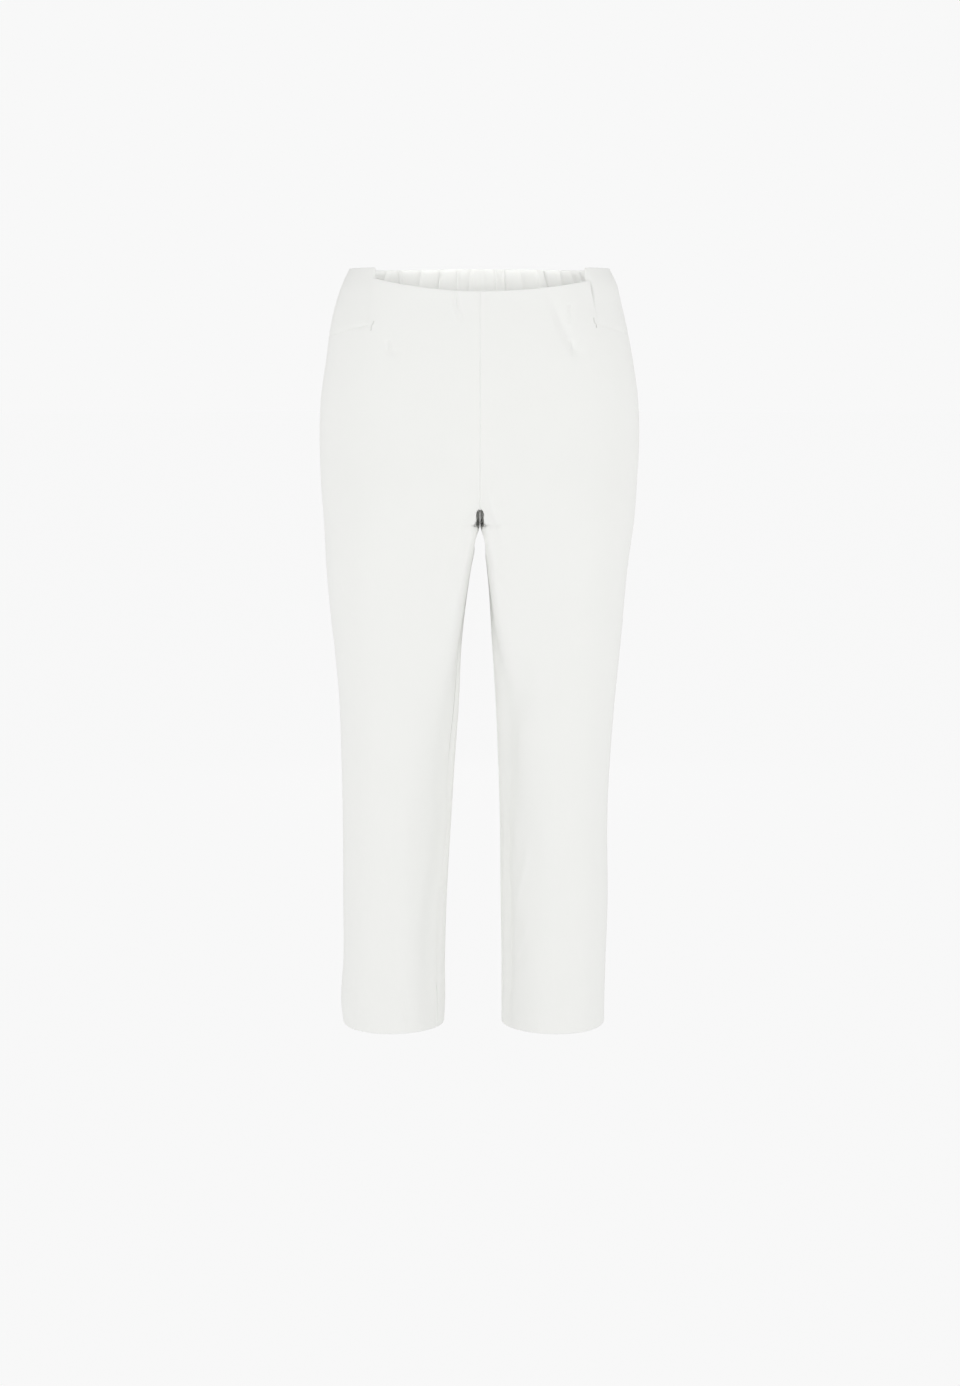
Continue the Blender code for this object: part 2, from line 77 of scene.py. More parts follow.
# Sides are distances from the middle plane, gaps run from there to the inner leg, front and back
# are depths from the middle of the leg, and turns are in degrees. Square is how square the inner
# front is, and forward how far the inner side lies to the front.
columnNames = (
    "height rightSide leftSide rightGap leftGap front back middle rightTurn leftTurn square forward"
)
sectionRows = [
    (-812, 153, 139, 40, 24, 66, 68, 2, 30, 12, 2.0, 6),
    (-795, 155, 139, 39, 24, 66, 68, 2, 30, 12, 2.0, 6),
    (-745, 153, 140, 39, 24, 66, 69, 2, 30, 12, 2.0, 6),
    (-675, 153, 142, 37, 23, 67, 71, 2, 28, 11, 2.0, 8),
    (-585, 153, 141, 32, 22, 70, 74, 2, 14, 8, 1.85, 12),
    (-520, 154, 144, 28, 20, 74, 77, 3, 21, 8, 2.0, 18),
    (-450, 156, 149, 23, 17, 79, 81, 4, 17, 7, 2.3, 26),
    (-385, 161, 155, 20, 13, 86, 88, 6, 8, 4, 2.8, 36),
    (-300, 168, 162, 9, 7, 97, 98, 8, 2, 2, 4.0, 42),
    (-255, 170, 168, 0, 0, 103, 109, 8, 0, 0, 4.2, 42),
    (-210, 173, 171, 0, 0, 108, 122, 7, 0, 0, 3.6, 34),
    (-165, 174, 173, 0, 0, 110, 125, 6, 0, 0, 2.8, 14),
    (-120, 172, 171, 0, 0, 109, 120, 4, 0, 0, 2.3, 2),
    (-80, 166, 165, 0, 0, 107, 113, 2, 0, 0, 2.25, 0),
    (-45, 161, 158, 0, 0, 104, 107, 1, 0, 0, 2.25, 0),
    (-20, 155, 152, 0, 0, 102, 103, 1, 0, 0, 2.25, 0),
    (0, 148, 147, 0, 0, 100, 101, 0, 0, 0, 2.25, 0),
    (17, 140, 139, 0, 0, 99, 100, 0, 0, 0, 2.25, 0),
    (30, 134, 133, 0, 0, 98, 99, 0, 0, 0, 2.25, 0),
]
sections = dict(zip(columnNames.split(), np.array(sectionRows, float).T))


def ease(value, start, end):
    # 0 before the start, 1 past the end, smooth between; the end may lie below the start
    share = np.clip((value - start) / (end - start), 0.0, 1.0)
    return share * share * (3.0 - 2.0 * share)


def bump(away, halfWidth):
    # 1 on a line and falling off to both sides of it, as exp of minus the square
    return np.exp(-((away / halfWidth) ** 2))


def unit(vectors):
    # the same directions, each of length 1
    return vectors / np.linalg.norm(vectors, axis=-1, keepdims=True)


def word(side):
    return "right" if side == right else "left"


def throughRows(column, height):
    # one column of the section table at any height: cubics with slopes from the neighbouring rows
    known, values = sections["height"], sections[column]
    slopes = np.gradient(values, known)
    height = np.clip(height, known[0], known[-1])
    low = np.clip(np.searchsorted(known, height) - 1, 0, len(known) - 2)
    span = known[low + 1] - known[low]
    share = (height - known[low]) / span
    square, cube = share**2, share**3
    ends = (2 * cube - 3 * square + 1) * values[low] + (3 * square - 2 * cube) * values[low + 1]
    leans = (cube - 2 * square + share) * slopes[low] + (cube - square) * slopes[low + 1]
    return ends + span * leans


def oval(side, height):
    # a leg's oval: its crown, its reach outside and inside the crown, and its depths
    top, crotch, soft = cut["curveTop"], cut["crotch"], cut["curveSoftness"]
    outer = throughRows(word(side) + "Side", height)
    gap = np.maximum(throughRows(word(side) + "Gap", height), 0.0)
    spread = gap * ease(height, crotch, cut["spreadLevel"])
    crown = (outer + spread) / 2 * ease(height, top, cut["crownLevel"])
    run = np.clip((top - height) / (top - crotch), cut["curveStart"], 1.0)
    past = np.hypot(crown / run ** cut["curvePower"] - crown, soft) - soft
    inside = np.where(height > crotch, crown + past, crown - gap)
    depths = [throughRows(name, height) for name in ("front", "back", "middle")]
    return crown, outer - crown, inside, *depths


def quarter(side, height, angle):
    # reach and turn, the cosine and sine of a rounded square: each divided by the root of the
    # sum of both to its power, which is larger at the inner front
    across, deep = np.cos(angle), np.sin(angle)
    innerFront = (across < 0) & (deep > 0)
    power = np.where(innerFront, throughRows("square", height), cut["roundness"])
    size = (np.abs(across) ** power + np.abs(deep) ** power) ** (1.0 / power)
    return across / size, deep / size


def surface(side, height, angle):
    # points at an angle round the leg, 0 at the side and growing round the front
    crown, outside, inside, frontDepth, backDepth, middle = oval(side, height)
    reach, turn = quarter(side, height, angle)
    across = crown + np.where(reach > 0, outside, inside) * reach
    below = np.clip((cut["crotch"] - height) / cut["archHeight"], 0.0, 1.0)
    arch = cut["archHalfWidth"] * np.sin(math.pi / 2 * below)
    across = np.maximum(across, np.maximum(arch, cut["seamGap"] / 2))
    inward = np.minimum(reach, 0.0) ** cut["forwardPower"]
    middle = middle - throughRows("forward", height) * inward
    depth = middle - np.where(turn > 0, frontDepth, backDepth) * turn
    return np.stack([side * across, depth, height + 0 * angle], axis=-1)


def fromMiddle(side, height, angle):
    # distance of the surface's points from the middle plane
    return np.abs(surface(side, height, angle)[..., 0])


def outward(side, height, angle, angleStep=0.004, heightStep=0.5):
    # unit normals of the surface, from its slopes round and up
    roundIt = surface(side, height, angle + angleStep) - surface(side, height, angle - angleStep)
    upIt = surface(side, height + heightStep, angle) - surface(side, height - heightStep, angle)
    return unit(-side * np.cross(roundIt, upIt))


def raised(side, height, angle, relief):
    # points of the surface moved out along its normals
    return surface(side, height, angle) + relief[..., None] * outward(side, height, angle)


def measureRows(side, facing, height):
    # evenly spaced angles from the side seam inwards, and the distance to each, for all rows at once
    crown, outside, inside = oval(side, height)[:3]
    reach = cut["seamGap"] / 2 - crown
    reach = np.clip(reach / np.where(reach > 0, outside, inside), -1.0, 1.0)
    squareInside = (reach < 0) & (facing == front)
    power = np.where(squareInside, throughRows("square", height), cut["roundness"])
    upper = facing * np.arctan2((1.0 - np.abs(reach) ** power) ** (1.0 / power), reach)
    lower = facing * math.pi - np.radians(throughRows(word(side) + "Turn", height))
    end = np.where(height > cut["crotch"], upper, lower)[:, None]
    angles = (end + cut["sideTurn"]) * np.linspace(0.0, 1.0, cut["samples"]) - cut["sideTurn"]
    points = surface(side, height[:, None], angles)
    steps = np.linalg.norm(np.diff(points, axis=1), axis=-1)
    run = np.pad(np.cumsum(steps, axis=1), ((0, 0), (1, 0)))
    return angles, run, np.abs(points[..., 0])


def readRows(wanted, known, values):
    # linear reading of every row's own table in one call: each row is shifted past the last
    low, high = known[:, :1], known[:, -1:]
    shift = 2.0 * np.arange(len(known))[:, None]
    place = shift + np.clip((wanted - low) / (high - low), 0.0, 1.0)
    table = shift + (known - low) / (high - low)
    return np.interp(place.ravel(), table.ravel(), values.ravel()).reshape(place.shape)


def evenWidth(side, facing, height):
    # a panel's width as it would be without the sudden hook of the crotch curve
    top, crotch = cut["curveTop"], cut["crotch"]
    ends = measureRows(side, facing, np.array([top, crotch]))[1][:, -1]
    between = ends[0] + (ends[1] - ends[0]) * ease(height, top, crotch)
    width = measureRows(side, facing, height)[1][:, -1]
    return np.where((height > crotch) & (height < top), between, width)


def waistLength(side):
    # from the side seam to the centre back along the top
    return measureRows(side, back, np.array([cut["rimTop"]]))[1][0, -1]


def rimHeight(side, facing, x):
    # height of the finished top edge: a dip at the front, almost level at the back
    share = np.abs(x) / cut["rimSpan"]
    if facing == front:
        return cut["rimFront"] + cut["rimRise"][side] * share**2
    return cut["rimTop"] + cut["rimBackRise"] * np.clip(1.0 - share**2, 0.0, 1.0)


# Large folds, with shares of the width from the side seam to the centre seam or inseam.
folds = {
    # share, height, end share, end height, half width, depth
    (right, front): [
        (0.55, -42, 0.60, -75, 9, -0.6),
        (0.98, -275, 0.94, -560, 14, -4.0),
        (0.92, -540, 0.92, -800, 13, -3.4),
        (0.09, -390, 0.11, -740, 13, -2.4),
    ],
    (left, front): [
        (0.66, -11, 0.56, -73, 6.5, -2.4),
        (0.97, -275, 0.86, -430, 12, -4.8),
        (0.86, -430, 0.92, -610, 11, -5.0),
        (0.92, -590, 0.92, -800, 10, -6.0),
        (0.12, -330, 0.10, -560, 12, -1.6),
    ],
    (right, back): [
        (0.86, -265, 0.55, -320, 13, -3.0),
        (0.80, -330, 0.70, -520, 14, -2.4),
        (0.20, -440, 0.62, -465, 12, -2.2),
        (0.45, -560, 0.40, -770, 14, -1.8),
    ],
    (left, back): [
        (0.86, -268, 0.58, -315, 13, -2.8),
        (0.78, -340, 0.72, -560, 14, -2.6),
        (0.25, -455, 0.66, -440, 12, -2.2),
        (0.42, -580, 0.50, -780, 14, -1.8),
    ],
}
foldEndShare = 0.35  # of a fold's depth, left at its ends


def byLine(offX, offZ, lineX, lineZ):
    # how far along a line a point lies, as a share of it, and its distance from the line
    along = np.clip((offX * lineX + offZ * lineZ) / (lineX**2 + lineZ**2), 0.0, 1.0)
    return along, np.hypot(offX - along * lineX, offZ - along * lineZ)


def foldRelief(side, facing, fromSide, width, height):
    # soft valleys round straight lines, shallower towards their ends
    relief = np.zeros(height.shape)
    for share, top, endShare, foot, halfWidth, depth in folds[side, facing]:
        lineX, lineZ = (endShare - share) * width, foot - top
        along, away = byLine(fromSide - share * width, height - top, lineX, lineZ)
        swell = foldEndShare + (1.0 - foldEndShare) * np.sin(math.pi * along)
        relief += depth * swell * bump(away, halfWidth)
    return relief


# Smaller creases: points of distance from the middle plane, height, half width and depth.
# A depth below 0 is a ridge.
creases = {
    (right, front): [
        [(25, -8, 1.7, 2.2), (23, -24, 1.5, 2.2), (19, -38, 2.2, 0.6)],
        [(97, -61, 2.2, 1.3), (96, -69, 2.3, 1.8), (84, -73, 2.2, 0.8)],
        [(8, -232, 6, 1.0), (22, -272, 8, 2.6), (34, -318, 10, 1.6)],
        [(119, -43, 1.3, 0.9), (129, -45.5, 1.3, 0.8)],
        [(87, -754, 3.5, 0.6), (78, -797, 4.5, 0.8)],
        [(60, -560, 9, 0.5), (70, -650, 10, 0.7), (66, -740, 9, 0.4)],
    ],
    (left, front): [
        [(92, -23, 1.4, 1.4), (92, -39, 1.8, 0.9)],
        [(96, -61, 2.3, 1.4), (98, -70, 2.4, 2.0), (109, -71, 2.3, 0.9)],
        [(5, -185, 6, 0.6), (11, -222, 7, 2.6), (19, -254, 8, 3.0), (32, -290, 10, 1.4)],
        [(14, -294, 5, 0.8), (23, -316, 7, 2.2), (33, -334, 6, 1.0)],
        [(36, -395, 12, 0.6), (44, -428, 12, 1.6), (32, -480, 7, 1.6), (36, -560, 9, 1.0)],
        [(51, -615, 4, -0.9), (40, -668, 4, -0.9)],
        [(50, -700, 4, -0.8), (39, -728, 4, -0.8)],
        [(46, -722, 5, 0.8), (30, -765, 5, 0.8)],
        [(108, -430, 11, 0.4), (104, -560, 12, 0.6), (110, -700, 12, 0.4)],
    ],
    (right, back): [
        [(30, -215, 8, 0.8), (58, -262, 9, 1.4), (96, -285, 9, 0.7)],
        [(60, -420, 7, 0.9), (95, -436, 8, 1.2), (128, -428, 7, 0.6)],
        [(110, -500, 9, 0.7), (84, -600, 10, 0.9), (92, -730, 10, 0.6)],
    ],
    (left, back): [
        [(26, -222, 8, 0.9), (60, -268, 9, 1.3), (90, -300, 10, 0.6)],
        [(56, -432, 8, 0.8), (92, -452, 8, 1.1), (124, -470, 7, 0.6)],
        [(104, -520, 9, 0.7), (82, -610, 10, 0.9), (88, -740, 9, 0.6)],
    ],
}


def creaseRelief(side, facing, x, height):
    # valleys or ridges along lines of several points, each point with its own width and depth
    relief = np.zeros(height.shape)
    for points in creases[side, facing]:
        nearest = np.full(height.shape, np.inf)
        dip = np.zeros(height.shape)
        for start, end in zip(np.array(points, float), np.array(points, float)[1:]):
            lineX, lineZ, widening, deepening = end - start
            along, away = byLine(x - start[0], height - start[1], lineX, lineZ)
            near = away / (start[2] + along * widening)
            depth = start[3] + along * deepening
            dip = np.where(near < nearest, depth * np.exp(-(near**2)), dip)
            nearest = np.minimum(near, nearest)
        relief -= dip
    return relief


# The gathered waist at the back: each pinch's distance from the centre back along the waist,
# its depth on the outside, half width, run downwards and slant towards the side.
gathers = {
    right: [
        (10, 2.8, 1.8, 80, 0.02),
        (25, 1.7, 2.0, 60, -0.03),
        (44, 1.7, 1.9, 95, 0.02),
        (67, 1.1, 2.4, 70, -0.02),
        (93, 3.2, 2.0, 80, -0.40),
        (110, 0.9, 2.7, 65, 0.04),
        (129, 0.7, 2.8, 90, -0.03),
        (146, 0.7, 2.6, 60, 0.03),
        (160, 0.8, 2.4, 75, 0.0),
    ],
    left: [
        (4, 0.9, 1.7, 45, 0.0),
        (17, 2.5, 1.6, 65, 0.10),
        (26, 2.3, 1.7, 90, -0.04),
        (46, 0.9, 2.6, 60, 0.02),
        (66, 4.0, 1.5, 115, 0.02),
        (71, 3.0, 1.3, 55, 0.05),
        (92, 0.8, 2.7, 70, -0.03),
        (107, 0.6, 3.0, 85, 0.03),
        (119, 0.7, 3.0, 70, -0.02),
        (134, 0.8, 2.6, 60, 0.02),
        (148, 0.7, 2.6, 95, 0.0),
        (161, 0.7, 2.4, 65, 0.02),
    ],
}
puff = {
    "height": {"out": 2.0, "in": 2.8},
    "roundOver": {"out": 7.0, "in": 5.0},
    "overTop": 2.0,
    "length": 100.0,
    "seamEase": 12.0,
    "widening": 1.6,
    "skirtDepth": 0.35,
    "skirtWidth": 3.2,
}


def pinchShares(side):
    # the pinches' places as shares of the way from the side seam to the centre back
    length = waistLength(side)
    return [1.0 - pinch[0] / length for pinch in gathers[side]]


def gatherRelief(side, fromCentre, drop, layer):
    # a puffed band, rounded over at its top and cut by a pinch at each gather, flat again below.
    # A pinch widens downwards, and a shallow skirt runs along both its sides.
    height = puff["height"][layer]
    relief = height * (1.0 - ease(drop, 0, puff["length"]))
    for start, depth, halfWidth, run, slant in gathers[side]:
        away = fromCentre - start - slant * drop
        down = ease(drop, 0, run)
        widened = halfWidth * (1.0 + puff["widening"] * down)
        cutDown = bump(away, widened) + puff["skirtDepth"] * bump(away, puff["skirtWidth"] * widened)
        relief = relief - depth * height / puff["height"]["out"] * cutDown * (1.0 - down)
    fromSeam = waistLength(side) - fromCentre
    seams = ease(fromCentre, 0, puff["seamEase"]) * ease(fromSeam, 0, puff["seamEase"])
    roundOver = np.sqrt(ease(drop, -puff["overTop"], puff["roundOver"][layer]))
    return roundOver * seams * np.maximum(relief, 0.0)


waves = {
    "lengths": (24.0, 31.0, 43.0, 58.0, 77.0),
    "tilt": 0.5,
    "downShare": 0.45,
    "depthShare": 0.0016,
    "downStretch": 1.9,
    "seed": 40,
    "sideSeed": 11,
}


def softUneven(side, facing, x, height):
    # long sine waves across the cloth at seeded tilts, each fading in and out downwards, about
    # a tenth of a millimetre in all
    random = np.random.default_rng(waves["sideSeed"] * side + facing + waves["seed"])
    relief = np.zeros(height.shape)
    for length in waves["lengths"]:
        angle = random.uniform(-waves["tilt"], waves["tilt"])
        phase = random.uniform(0, 2 * math.pi)
        down = waves["downShare"] * height * math.sin(angle)
        wave = np.sin(2 * math.pi * (x * math.cos(angle) + down + phase * length) / length)
        fading = np.sin(height / (waves["downStretch"] * length) + phase)
        relief += waves["depthShare"] * length * wave * fading
    return relief


# The cloth: walls, the doubled bands, and how the edges roll into the seams.
cloth = {
    "wall": 0.8,
    "bandWall": 1.6,
    "topBand": 30.0,
    "hemBand": 28.0,
    "bandStep": 0.8,
    "allowance": 11.0,
    "allowanceWall": 0.6,
    "seamReach": 0.14,
    "rollRows": 5,
}
seamStart = cut["seamGap"] / 2 + cloth["seamReach"]  # the first column's place


def crowded(start, end, count, places, crowding, samples=4001):
    # numbers from start to end, closer together round the given places: how far round, how much
    halfWidth, strength = crowding
    fine = np.linspace(start, end, samples)
    density = 1.0 + strength * sum(bump(fine - place, halfWidth) for place in places)
    run = np.append(0.0, np.cumsum((density[1:] + density[:-1]) / 2))
    return np.interp(np.linspace(0.0, run[-1], count), run, fine)


def addObject(name, data):
    # an object at the origin, in the scene
    made = bpy.data.objects.new(name, data)
    bpy.context.scene.collection.objects.link(made)
    return made


def addMesh(name, points, faces, flat, material):
    # every face has four corners; flat holds each point's place on the cut cloth
    mesh = bpy.data.meshes.new(name)
    mesh.from_pydata((points * mm).tolist(), [], faces.tolist())
    mesh.shade_smooth()
    if flat is not None:
        layer = mesh.uv_layers.new(name="cut")
        layer.data.foreach_set("uv", (flat[faces.ravel()] * mm).astype(np.float32).ravel())
    mesh.materials.append(material)
    return addObject(name, mesh)


def clothShell(name, outer, out, wall, reach, flat, material, keep=None):
    # outer is a grid of points, rows down and columns across. The inner layer is the outer one
    # moved in by the wall along its normals, and a half round joins the two at every free edge.
    size = outer[..., 0].size
    number = np.arange(size).reshape(outer.shape[:2])
    normal = out * np.cross(np.gradient(outer, axis=1), np.gradient(outer, axis=0))
    normal = unit(normal).reshape(-1, 3)
    outer, wall, reach = outer.reshape(-1, 3), wall.reshape(-1, 1), reach.reshape(-1, 1)
    inner = outer - wall * normal
    corners = [number[:-1, :-1], number[:-1, 1:], number[1:, 1:], number[1:, :-1]]
    quads = np.stack(corners, axis=-1)
    quads = quads[keep] if keep is not None else quads.reshape(-1, 4)
    quads = quads if out > 0 else quads[:, ::-1]
    edges = np.concatenate([quads[:, [k, (k + 1) % 4]] for k in range(4)])
    twin = np.isin(edges @ [size, 1], edges @ [1, size])
    free = edges[~twin]
    push = np.zeros((size, 3))
    along = outer[free[:, 1]] - outer[free[:, 0]]
    away = unit(np.cross(along, normal[free[:, 0]]))
    np.add.at(push, free, away[:, None])
    rim, place = np.unique(free, return_inverse=True)
    push = unit(push[rim])
    turns = math.pi * np.arange(1, cloth["rollRows"] + 1) / (cloth["rollRows"] + 1)
    middle, half = (outer[rim] + inner[rim]) / 2, (outer[rim] - inner[rim]) / 2
    rolls = [middle + half * math.cos(t) + push * reach[rim] * math.sin(t) for t in turns]
    levels = [2 * size + k * len(rim) + place.reshape(-1, 2) for k in range(len(turns))]
    levels = [free, *levels, free + size]
    strips = [
        np.stack([upper[:, 1], upper[:, 0], lower[:, 0], lower[:, 1]], axis=1)
        for upper, lower in zip(levels, levels[1:])
    ]
    faces = np.concatenate([quads, quads[:, ::-1] + size] + strips)
    points = np.concatenate([outer, inner] + rolls)
    flat = flat.reshape(-1, 2)
    flat = np.concatenate([flat, flat] + [flat[rim]] * len(turns))
    used, faces = np.unique(faces, return_inverse=True)
    return addMesh(name, points[used], faces.reshape(-1, 4), flat[used], material)


class Wire:
    # an output of a node; arithmetic on it adds Math nodes

    def __init__(self, board, socket):
        self.board, self.socket = board, socket

    def maths(self, operation, first, second):
        return self.board.node("ShaderNodeMath", {"operation": operation}, {0: first, 1: second})

    def __add__(self, other):
        return self.maths("ADD", self, other)

    def __mul__(self, other):
        return self.maths("MULTIPLY", self, other)

    def sine(self):
        return self.maths("SINE", self, 0.0)


class Board:
    # the nodes of one material or of the room

    def __init__(self, tree):
        self.tree = tree

    def node(self, kind, settings, values, output=0):
        # a node of any kind: its settings first, then a value or a link for each named socket
        made = self.tree.nodes.new(kind)
        for name, value in settings.items():
            setattr(made, name, value)
        for name, value in values.items():
            self.feed(made.inputs[name], value)
        return Wire(self, made.outputs[output])

    def feed(self, socket, value):
        if isinstance(value, Wire):
            self.tree.links.new(value.socket, socket)
        else:
            socket.default_value = value

    def blend(self, factor, first, second):
        # a colour between two colours
        colours = {0: factor, 6: (*first, 1.0), 7: (*second, 1.0)}
        return self.node("ShaderNodeMix", {"data_type": "RGBA"}, colours, 2)

    def noise(self, place, scale, detail):
        # soft grains between 0 and 1
        return self.node("ShaderNodeTexNoise", {}, {"Vector": place, "Scale": scale, "Detail": detail})

    def relief(self, height, sizes):
        # normals tilted by a height
        values = {"Strength": sizes["strength"], "Distance": sizes["depth"], "Height": height}
        return self.node("ShaderNodeBump", {}, values)

    def cover(self, values, shader="Principled BSDF"):
        # what reaches the shader of a surface or of the room
        for name, value in values.items():
            self.feed(self.tree.nodes[shader].inputs[name], value)


def newMaterial(name):
    material = bpy.data.materials.new(name)
    material.use_nodes = True
    return material, Board(material.node_tree)


twill = {
    "pitch": 0.00055,
    "angle": math.radians(63),
    "depth": 0.00006,
    "strength": 0.35,
    "yarnShare": 0.5,
    "slubScale": (630.0, 90.0, 1.0),
    "cloudScale": 22.0,
    "inHeight": {"ribs": 0.35, "yarns": 0.2, "slubs": 0.6},
    "inTone": {"clouds": 0.6, "slubs": 0.4, "ribs": 0.03},
    "roughnessSpread": 0.08,
    "sheen": 0.12,
    "sheenRoughness": 0.6,
    "specular": 0.25,
}


def clothMaterial(name, colour, shade, roughness):
    # fine twill in the cut's own metres: slanted ribs broken by uneven yarns, and a faint
    # cloudiness between two near tones
    material, board = newMaterial(name)
    flat = board.node("ShaderNodeUVMap", {"uv_map": "cut"}, {})
    across, along = [board.node("ShaderNodeSeparateXYZ", {}, {0: flat}, k) for k in (0, 1)]
    turn = 2 * math.pi / twill["pitch"]
    slanted = across * (turn * math.sin(twill["angle"])) + along * (turn * math.cos(twill["angle"]))
    ribs = slanted.sine()
    yarnTurn = turn * twill["yarnShare"]
    yarns = (along * yarnTurn).sine() * (across * yarnTurn).sine()
    slubMap = board.node("ShaderNodeMapping", {}, {"Vector": flat, "Scale": twill["slubScale"]})
    slubs = board.noise(slubMap, scale=1.0, detail=3.0)
    clouds = board.noise(flat, twill["cloudScale"], detail=2.0)
    low, tint = twill["inHeight"], twill["inTone"]
    height = ribs * low["ribs"] + yarns * low["yarns"] + slubs * low["slubs"]
    tone = clouds * tint["clouds"] + slubs * tint["slubs"] + ribs * tint["ribs"]
    spread = twill["roughnessSpread"]
    board.cover(
        {
            "Base Color": board.blend(tone, shade, colour),
            "Roughness": slubs * spread + (roughness - spread / 2),
            "Normal": board.relief(height, twill),
            "Sheen Weight": twill["sheen"],
            "Sheen Roughness": twill["sheenRoughness"],
            "Specular IOR Level": twill["specular"],
        }
    )
    return material


yarn = {"scale": 2600.0, "shade": 0.9, "strength": 0.4, "depth": 0.0001, "roughness": 0.7}


def threadMaterial(name, colour):
    # a matte twisted thread
    material, board = newMaterial(name)
    place = board.node("ShaderNodeTexCoord", {}, {}, 3)
    fibres = board.noise(place, yarn["scale"], detail=2.0)
    darker = [yarn["shade"] * part for part in colour]
    base, normal = board.blend(fibres, darker, colour), board.relief(fibres, yarn)
    board.cover({"Base Color": base, "Roughness": yarn["roughness"], "Normal": normal})
    return material


outerCloth = clothMaterial("offWhiteTwill", (0.885, 0.889, 0.868), (0.865, 0.870, 0.848), 0.86)
innerCloth = clothMaterial("offWhiteTwillInside", (0.872, 0.876, 0.854), (0.852, 0.857, 0.834), 0.9)
# the thread's grey, below the cloth's tone, is painted shade for the shadow at the bar tacks; the same
# thread sews the casing and the hems
thread = threadMaterial("threadWithPaintedShade", (0.80, 0.805, 0.78))
print("materials made")

# Leg panels. The pocket mouth runs down from the waist, round a bend and out to the side seam.
pocket = {
    "top": 112.0,
    "bend": {right: 117.0, left: 122.0},
    "bendHeight": -36.0,
    "bendRadius": 9.0,
    "clearance": 2.0,
    "sideSlope": 0.3,
    "spread": 26.0,
    "spreadDown": 42.0,
    "settle": 18.0,
    "cornerWidth": 8.0,
    "edgeWall": 0.3,
    "pressed": 9.0,
}


def mouthEdge(side, height):
    # distance of the mouth's upright edge from the middle plane, round the bend at its foot
    lean = (pocket["bend"][side] - pocket["top"]) / (cut["rimTop"] - pocket["bendHeight"])
    upright = pocket["top"] + lean * (cut["rimTop"] - np.maximum(height, pocket["bendHeight"]))
    share = np.clip((pocket["bendHeight"] - height) / pocket["bendRadius"], 0.0, 1.0)
    return upright + pocket["bendRadius"] * (1.0 - np.sqrt(1.0 - share**2))


def mouthFoot(side, x):
    # height of the mouth's lower edge: round the bend, then sloping down to the side seam
    radius = pocket["bendRadius"]
    past = x - pocket["bend"][side]
    share = np.clip(1.0 - past / radius, 0.0, 1.0)
    arc = pocket["bendHeight"] - radius * np.sqrt(1.0 - share**2)
    return arc - pocket["sideSlope"] * np.maximum(past - radius, 0.0)


def mouthCorner(side):
    # the middle of the bend, halfway round its quarter circle
    half = pocket["bendRadius"] * math.sqrt(0.5)
    return pocket["bend"][side] + pocket["bendRadius"] - half, pocket["bendHeight"] - half


seamDips = {
    "side": (0.35, 1.3),
    "inner": {front: (0.28, 1.5), back: (0.5, 1.5)},
    "inseam": {right: 2.7, left: 0.4},
    "inseamWidth": {front: 1.5, back: 4.2},
    "inseamFrom": (-262.0, -300.0),
    "inseamTo": (-740.0, -785.0),
    "columnReach": 0.014,
    "columns": 8,
}


def seamRelief(side, facing, fromSide, fromInner, level):
    # the cloth draws down into its seams, deepest along the inseam
    sideDip, sideWidth = seamDips["side"]
    innerDip, innerWidth = seamDips["inner"][facing]
    legs = ease(level, *seamDips["inseamFrom"]) * (1.0 - ease(level, *seamDips["inseamTo"]))
    inseam = seamDips["inseam"][side] * legs * bump(fromInner, seamDips["inseamWidth"][facing])
    return -sideDip * bump(fromSide, sideWidth) - innerDip * bump(fromInner, innerWidth) - inseam


notch = {
    "top": -236.0,
    "bottom": -246.0,
    "foot": (-252.0, -255.0),
    "halfWidth": 4.8,
    "roundness": 0.25,
    "narrowing": 0.15,
    "narrowFrom": 0.4,
    "flank": 1.0,
    "depth": 34.0,
}


def notchDepth(x, level):
    # a pit where the seams of the crotch meet, round at its top, steep at its sides and open below
    share = np.clip((notch["top"] - level) / (notch["top"] - notch["bottom"]), 0.0, 1.0)
    edge = notch["halfWidth"] * (share * (2.0 - share)) ** notch["roundness"]
    edge = edge * (1.0 - notch["narrowing"] * ease(share, notch["narrowFrom"], 1.0))
    foot = 1.0 - ease(level, *notch["foot"])
    return notch["depth"] * foot * (1.0 - ease(x, edge - notch["flank"], edge)) * (share > 0)


def within(away, band):
    # 1 up to a band's width and 0 a short step past it
    return 1.0 - ease(away, band, band + cloth["bandStep"])


def wallThickness(fromSide, fromInner, belowRim, aboveHem, topBand):
    # doubled in the bands, and thicker by the pressed-open allowance beside a seam
    doubled = within(aboveHem, cloth["hemBand"])
    if topBand:
        doubled = np.maximum(doubled, within(belowRim, topBand))
    allowance = within(np.minimum(fromSide, fromInner), cloth["allowance"])
    wall = cloth["wall"] + (cloth["bandWall"] - cloth["wall"]) * doubled
    return wall + cloth["allowanceWall"] * allowance * (1.0 - doubled)


def atX(side, height, x, answer="distance"):
    # distance from the side seam, or angle, of the front's points at x, one or more at each height
    angles, run, across = measureRows(side, front, height)
    shown = np.where(angles > 0.0, across, farAway - np.arange(across.shape[1]))
    return readRows(-x, -shown, run if answer == "distance" else angles)


rowPlan = {"top": 52, "foot": 186, "crowding": (24.0, 2.6)}
columnPlan = {
    front: {"toMouth": 60, "fromMouth": 92, "crowding": (0.05, 2.0)},
    back: {"count": 152, "crowding": (0.012, 1.6)},
}
footRow = pocket["bendHeight"] - pocket["bendRadius"] - pocket["clearance"]
footAt = rowPlan["top"] - 1  # the row along the mouth's foot
edgeAt = columnPlan[front]["toMouth"] - 1  # the column down the mouth's upright edge


